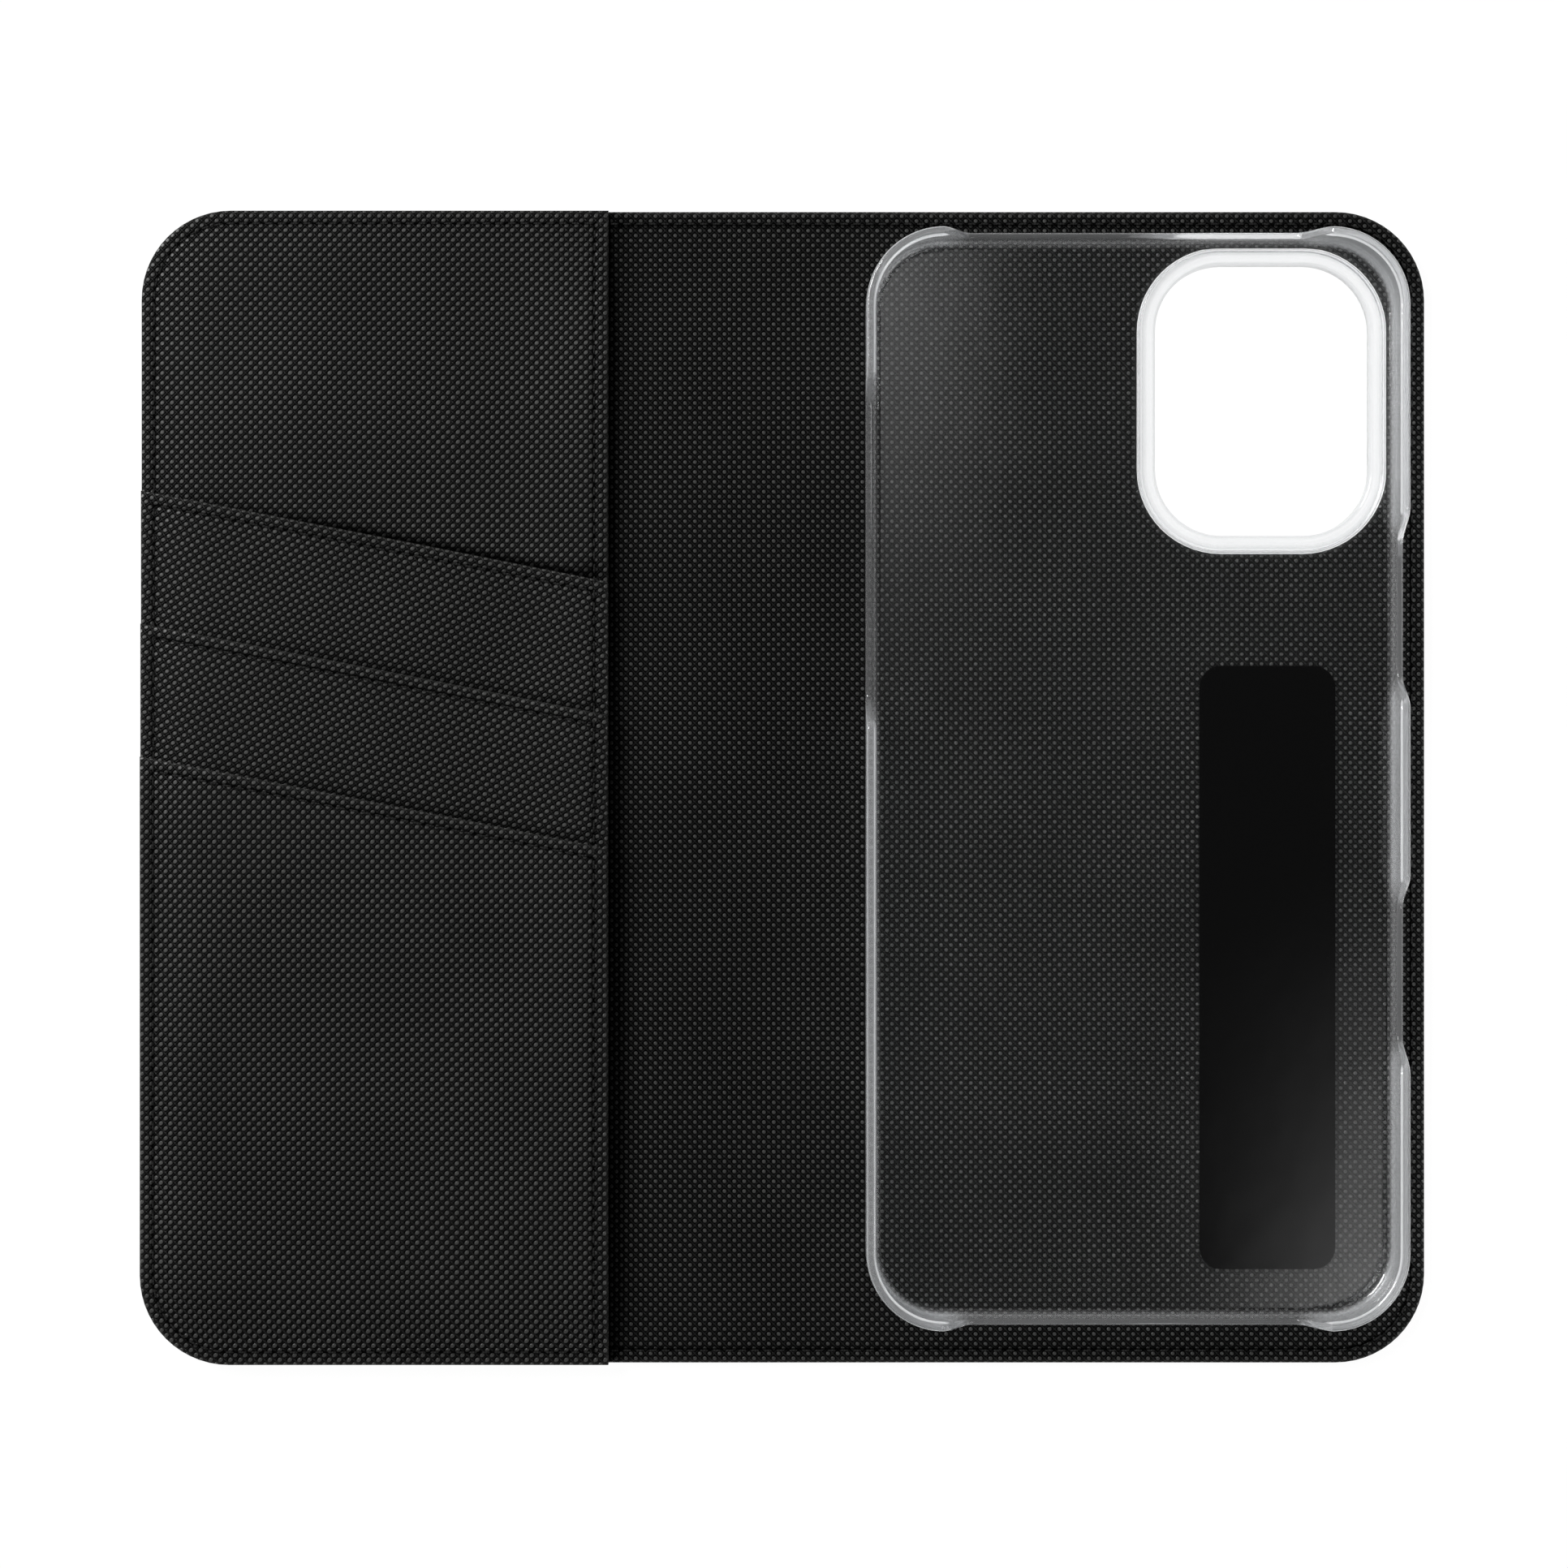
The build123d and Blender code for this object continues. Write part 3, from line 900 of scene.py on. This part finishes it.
class Stitching:
    """A group of separate stitches as one mesh."""

    def __init__(self):
        self.verts, self.faces, self.thread = [], [], []

    def stitch(self, x, y, dx, dy, height, up=1):
        """One stitch centred on (x, y), along (dx, dy). Its ends dive in, down where up is 1."""
        first = len(self.verts)
        for ring in range(STITCH_RINGS):
            t = ring / (STITCH_RINGS - 1) * 2 - 1
            along = t * STITCH_LENGTH / 2
            radius = THREAD_RADIUS * math.sqrt(1 - STITCH_TAPER * t ** 4)
            z = height - up * STITCH_DIVE * t ** 4
            for side in range(STITCH_SIDES):
                angle = 2 * math.pi * side / STITCH_SIDES
                out, rise = math.cos(angle) * radius, math.sin(angle) * radius
                self.verts.append((x + dx * along - dy * out, y + dy * along + dx * out, z + rise))
                self.thread.append((along, side / STITCH_SIDES, 0.0))
        loops = [range(k, k + STITCH_SIDES) for k in range(first, len(self.verts), STITCH_SIDES)]
        for a, b in zip(loops, loops[1:]):
            self.faces += ring_quads(a, b, flip=True)
        self.faces += [loops[0][::-1], loops[-1]]

    def build(self, name):
        return mesh_object(name, self.verts, self.faces, THREAD, thread=self.thread)


def along_path(points, pitch):
    """Evenly spaced (x, y, dx, dy) on a path, half a pitch from its start."""
    lengths = [math.dist(a, b) for a, b in zip(points, points[1:])]
    total = sum(lengths)
    count = round(total / pitch)
    found = []
    segment, before = 0, 0.0
    for k in range(count):
        at = (k + 0.5) * total / count
        while at > before + lengths[segment]:
            before += lengths[segment]
            segment += 1
        (x0, y0), (x1, y1) = points[segment], points[segment + 1]
        length = lengths[segment]
        dx, dy = (x1 - x0) / length, (y1 - y0) / length
        found.append((x0 + dx * (at - before), y0 + dy * (at - before), dx, dy))
    return found


def edge_stitches():
    """The stitches round the cover, inside and outside, one piece for each stretch."""
    inset = EDGE_STITCH_INSET
    loop = rounded_rectangle(LEFT + inset, RIGHT - inset, BOTTOM + inset, TOP - inset, COVER_CORNER - inset)
    places = along_path(loop + loop[:1], STITCH_PITCH)
    for stretch in STRETCHES:
        group = Stitching()
        for x, y, dx, dy in places:
            if stretch.x0 <= x < stretch.x1:
                group.stitch(x, y, dx, dy, surface(x, y) - STITCH_SINK)
                group.stitch(x, y, dx, dy, THREAD_RADIUS + STITCH_SINK, up=-1)
        piece = group.build("edge_stitches_" + stretch.name)
        stretch.join(piece)
        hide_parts(*["edge_stitching_" + end for end in stretch.ends])


def straight_stitches(name, node, start, end):
    """A straight row of stitches on the front cover."""
    group = Stitching()
    for x, y, dx, dy in along_path([start, end], STITCH_PITCH):
        group.stitch(x, y, dx, dy, surface(x, y) - STITCH_SINK)
    piece = group.build(name)
    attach(piece, "front_cover")
    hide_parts(node)


edge_stitches()
straight_stitches(
    "panel_edge_stitches",
    "panel_edge_stitching",
    (PANEL_STITCH_X, BOTTOM + EDGE_STITCH_INSET + SEAM_END),
    (PANEL_STITCH_X, TOP - EDGE_STITCH_INSET - SEAM_END),
)
for index, label in enumerate(POCKETS):
    drop = HEM_STITCH_INSET * math.hypot(1, HEM_SLOPE)
    x0, x1 = LEFT + EDGE_STITCH_INSET + SEAM_END, PANEL_STITCH_X - SEAM_END
    straight_stitches(
        label + "_hem_stitches",
        "hem_stitching_" + label,
        (x0, mouth_y(index, x0) - drop),
        (x1, mouth_y(index, x1) - drop),
    )

# --- phone shell ---

SHELL_CORNER = 10.6
SHELL_WALL = 0.9
SHELL_UNDERSIDE = PAD_TOP
SHELL_FLOOR_TOP = SHELL_UNDERSIDE + 1.0
LOW_WALL_TOP = SHELL_FLOOR_TOP + 1.8
OUTER_FILLET = 1.4
INNER_FILLET = 1.2
LIP = 0.45                # how far a high wall's rim leans in over the phone
RAMP = 4.4                # length of the slope at each end of a cut-out
CUTOUT_CLEARANCE = 0.85   # an opening's box is this much shorter at each end than its cut-out
SHELL_STEP = 0.55
CORNER_STEPS = 28
FILLET_STEPS = 6
SUPPORT = 0.06            # flat strip beside a fillet, which keeps the shading of the floor flat
FLOOR_STEP = 8.0
FLOOR_CLEAR = 1.0         # no floor points closer to the floor's outline
FLOOR_XS = steps_between(SHELL_LOW[0], SHELL_HIGH[0], FLOOR_STEP)
FLOOR_YS = steps_between(SHELL_LOW[1], SHELL_HIGH[1], FLOOR_STEP)


def cutout(name, axis):
    """Middle and half length of a cut-out along one axis."""
    middle, size = opening(name)
    return middle[axis], size[axis] / 2 + CUTOUT_CLEARANCE


CUTOUTS = {
    "left": [cutout("left_button_cutout", 1)],
    "right": [cutout("upper_right_button_cutout", 1), cutout("lower_right_button_cutout", 1)],
    "top": [cutout("top_end_cutout", 0)],
    "bottom": [cutout("bottom_end_cutout", 0)],
}


def wall_share(side, at):
    """1 where the wall is at full height and 0 in a cut-out."""
    share = 1.0
    for middle, half in CUTOUTS[side]:
        share = min(share, smoothstep((abs(at - middle) - half) / RAMP))
    return share


def shell_path():
    """Points round the shell's outer face: (x, y, outward x, outward y, wall share)."""
    x0, y0, x1, y1 = SHELL_LOW[0], SHELL_LOW[1], SHELL_HIGH[0], SHELL_HIGH[1]
    c = SHELL_CORNER
    sides = [
        ("right", (x1 - c, y0 + c), -90, (x1, y0 + c), (x1, y1 - c)),
        ("top", (x1 - c, y1 - c), 0, (x1 - c, y1), (x0 + c, y1)),
        ("left", (x0 + c, y1 - c), 90, (x0, y1 - c), (x0, y0 + c)),
        ("bottom", (x0 + c, y0 + c), 180, (x0 + c, y0), (x1 - c, y0)),
    ]
    path = []
    for side, (cx, cy), start, a, b in sides:
        normals = arc(0, 0, 1, start, start + 90, CORNER_STEPS)
        path += [(cx + c * ox, cy + c * oy, ox, oy, 1.0) for ox, oy in normals[:-1]]
        ox, oy = normals[-1]
        for t in steps_between(0, 1, SHELL_STEP / math.dist(a, b))[:-1]:
            x, y = a[0] + (b[0] - a[0]) * t, a[1] + (b[1] - a[1]) * t
            path.append((x, y, ox, oy, wall_share(side, y if side in ("left", "right") else x)))
    return path


LIP_FROM = 0.75           # share of the full height from which a wall has a lip
# The rim, from the wall's inner face to its outer one, as (inset, share of the lip, depth below the top).
RIM_PROFILE = [
    (SHELL_WALL, 0.0, 0.6), (SHELL_WALL, 0.35, 0.45), (SHELL_WALL, 0.85, 0.32), (SHELL_WALL, 1.0, 0.2),
    (SHELL_WALL - 0.08, 0.9, 0.06), (SHELL_WALL - 0.25, 0.6, 0.0), (0.38, 0.0, 0.0), (0.14, 0.0, 0.09),
    (0.02, 0.0, 0.3), (0.0, 0.0, 0.6),
]


def wall_profile(share):
    """(inset, height) points of the wall, from the floor's top, over the rim, to the underside."""
    top = LOW_WALL_TOP + (SHELL_HIGH[2] - LOW_WALL_TOP) * share
    lip = LIP * smoothstep((share - LIP_FROM) / (1 - LIP_FROM))
    quarter = arc(0, 0, 1, 0, 90, FILLET_STEPS)
    inner, outer, low = INNER_FILLET, OUTER_FILLET, SHELL_UNDERSIDE
    points = [(SHELL_WALL + inner + SUPPORT, SHELL_FLOOR_TOP)]
    points += [(SHELL_WALL + inner * (1 - v), SHELL_FLOOR_TOP + inner * (1 - u)) for u, v in quarter]
    points.append((SHELL_WALL, (SHELL_FLOOR_TOP + inner + top - 0.5) / 2))
    points += [(inset + lip * part, top - depth) for inset, part, depth in RIM_PROFILE]
    points.append((0.0, (low + outer + top - 0.6) / 2))
    points += [(outer * (1 - u), low + outer * (1 - v)) for u, v in quarter]
    points.append((outer + SUPPORT, low))
    return points


RING_CLEARANCE = 0.3      # between the leather's window and the ring that lines it
RING_WIDTH = 2.1
RING_BOTTOM = SHELL_LOW[2]
LOW_WALL_PAINTED_MILK = 0.3       # how much painted milkiness a low wall has, next to a high one
# The ring round the window, from the floor's top, down its inner side, under it and up to the floor's
# underside, as a height and the points (inset, rise, painted milkiness) measured from it.
RING_PARTS = [
    (SHELL_FLOOR_TOP, [(RING_WIDTH - 0.2, 0.0, 0.0), (RING_WIDTH - 0.26, 0.0, 1.0)]),
    (SHELL_FLOOR_TOP, [(RING_WIDTH - 0.6, 0.0, 0.7), (RING_WIDTH - 0.9, -0.01, 0.15), (0.6, -0.03, 0.1)]),
    (SHELL_FLOOR_TOP, [(0.4, -0.06, 0.4), (0.25, -0.1, 1.0), (0.06, -0.3, 1.0), (0.0, -0.6, 1.0)]),
    (RING_BOTTOM, [(0.0, 0.5, 1.0), (0.06, 0.22, 1.0), (0.25, 0.05, 1.0), (0.5, 0.0, 0.1)]),
    (RING_BOTTOM, [(RING_WIDTH - 0.7, 0.0, 0.3), (RING_WIDTH - 0.12, 0.1, 1.0), (RING_WIDTH, 0.4, 1.0)]),
    (SHELL_UNDERSIDE, [(RING_WIDTH, -0.35, 0.8), (RING_WIDTH + 0.1, -0.1, 0.5)]),
    (SHELL_UNDERSIDE, [(RING_WIDTH + 0.35, 0.0, 0.0), (RING_WIDTH + 0.35 + SUPPORT, 0.0, 0.0)]),
]


def phone_shell():
    """The clear tray that holds the phone: floor, walls of two heights, rim and window ring."""
    path = shell_path()
    verts, faces, moulded = [], [], []
    profiles = [wall_profile(point[4]) for point in path]
    count = len(path)
    for ring in range(len(profiles[0])):
        for (x, y, ox, oy, share), profile in zip(path, profiles):
            d, z = profile[ring]
            reach = OUTER_FILLET if z < SHELL_FLOOR_TOP else SHELL_WALL + INNER_FILLET
            # Painted light: milky grey on the walls, most on the high ones, in place of the light that clear walls
            # bend.
            painted_milk = LOW_WALL_PAINTED_MILK + (1 - LOW_WALL_PAINTED_MILK) * share
            verts.append((x - ox * d, y - oy * d, z))
            moulded.append((painted_milk * smoothstep(2 * (1 - d / reach)), 0, 0))
    hole = window_outline(-RING_CLEARANCE - RING_WIDTH)
    away = hole_shifts(hole)
    first, size = len(verts), len(hole)
    for base, points in RING_PARTS:
        for inset, rise, painted_milk in points:
            verts += [(x, y, base + rise) for x, y in shifted(hole, away, inset)]
            moulded += [(painted_milk, 0, 0)] * size
    wall_loops = [range(k, k + count) for k in range(0, first, count)]
    ring_loops = [range(k, k + size) for k in range(first, len(verts), size)]
    for loops, flip in ((wall_loops, False), (ring_loops, True)):
        for a, b in zip(loops, loops[1:]):
            faces += ring_quads(a, b, flip)
    for end, height, under in ((0, SHELL_FLOOR_TOP, False), (-1, SHELL_UNDERSIDE, True)):
        outer = [verts[v][:2] for v in wall_loops[end]]
        inner = [verts[v][:2] for v in ring_loops[end]]
        middle_points = inner_points(outer, [inner], FLOOR_XS, FLOOR_YS, FLOOR_CLEAR)
        ids = [*wall_loops[end], *ring_loops[end]]
        ids += range(len(verts), len(verts) + len(middle_points))
        verts += [(x, y, height) for x, y in middle_points]
        moulded += [(0, 0, 0)] * len(middle_points)
        faces += fill(outer, [inner], middle_points, ids, under)
    piece = mesh_object("phone_shell", verts, faces, CLEAR, moulded=moulded)
    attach(piece, "back_cover")
    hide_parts("clear_shell")
    return piece


phone_shell()

# --- CAD nodes that stay ---

FINISHES = {"stiffener_" + end: BOARD for end in ("front", "spine", "flap", "back")}
FINISHES["adhesive_pad"] = PAD
for name, material in FINISHES.items():
    for entry in frame["nodes"][name].material_slots:
        entry.material = material

# --- floor, light and camera ---

FLOOR_HALF = 4000.0
FLOOR_REFLECTS, FLOOR_GLOWS = 0.06, 0.97
HORIZON, OVERHEAD = 0.85, 0.06  # brightness of the sky
OVERHEAD_FROM = 0.5       # how far up it is as dim as overhead
LEAST_CLIMB = 0.01        # keeps the slopes of level directions finite
# Two soft boxes in the sky, each as (strength, fades). A fade along axis 0, X, or 1, Y, is (axis, dark
# slope, lit slope, power). A slope is how far a direction leans along the axis for each unit of climb.
SOFTBOXES = [
    (0.92, [(0, 0.0607, 0.0206, 1.0), (1, 0.0136, 0.128, 1.5), (0, -0.03, 0.0, 1.0), (1, 0.24, 0.2, 1.0)]),
    (1.1, [(0, 0.0917, 0.1444, 2.0), (1, -0.0172, -0.128, 2.0), (0, 0.24, 0.2, 1.0), (1, -0.24, -0.2, 1.0)]),
]
CAMERA_PLACE = (0.00005, 0.00045, 0.545)  # metres, like the lamps' places and sizes
CAMERA_LENS, CAMERA_SENSOR = 90.5, 36.0


def studio_floor():
    """A large plain white floor that gives off some light of its own."""
    material, _, shader = new_material("white_floor")
    shader.inputs["Base Color"].default_value = (FLOOR_REFLECTS, FLOOR_REFLECTS, FLOOR_REFLECTS, 1)
    shader.inputs["Roughness"].default_value = 0.9
    shader.inputs["Specular IOR Level"].default_value = 0.0
    shader.inputs["Emission Color"].default_value = (1, 1, 1, 1)
    shader.inputs["Emission Strength"].default_value = FLOOR_GLOWS
    corners = [(x * FLOOR_HALF, y * FLOOR_HALF, 0) for x, y in ((-1, -1), (1, -1), (1, 1), (-1, 1))]
    floor = mesh_object("studio_floor", corners, [(0, 1, 2, 3)], material)


def soft_light(name, place, size, energy):
    """A square area light aimed at the middle of the scene."""
    data = bpy.data.lights.new(name, "AREA")
    data.size = size
    data.energy = energy
    made = bpy.data.objects.new(name, data)
    made.location = place
    made.rotation_euler = (-Vector(place)).to_track_quat("-Z", "Y").to_euler()
    bpy.context.scene.collection.objects.link(made)


def studio_world():
    """A world that is pale at the horizon and dim overhead, with two soft boxes that fade to one side."""
    world = bpy.data.worlds.new("studio")
    world.use_nodes = True
    bpy.context.scene.world = world
    n = Nodes(world.node_tree)
    x, y, z = n.split(n.add("TexCoord").outputs["Generated"])
    climb = n.math("MAXIMUM", z, LEAST_CLIMB)
    slopes = [n.math("DIVIDE", x, climb), n.math("DIVIDE", y, climb)]
    light = n.ramp(z, 0.0, OVERHEAD_FROM, HORIZON, OVERHEAD)
    for box, fades in SOFTBOXES:
        for axis, dark, lit, power in fades:
            fade = n.math("POWER", n.ramp(slopes[axis], dark, lit), power)
            box = n.times(fade, box)
        light = n.plus(light, box)
    n.put(world.node_tree.nodes["Background"].inputs["Color"], light)


def camera():
    """Straight down over the open case."""
    data = bpy.data.cameras.new("camera")
    data.lens, data.sensor_width = CAMERA_LENS, CAMERA_SENSOR
    data.clip_start, data.clip_end = 0.01, 20
    made = bpy.data.objects.new("camera", data)
    made.location = CAMERA_PLACE
    bpy.context.scene.collection.objects.link(made)
    bpy.context.scene.camera = made


studio_floor()
studio_world()
soft_light("key_left", (-0.6, 0.4, 0.7), 0.4, 9.0)
soft_light("fill_right", (0.7, -0.5, 0.8), 0.6, 2.0)
camera()
bpy.context.scene.view_settings.view_transform = "Standard"
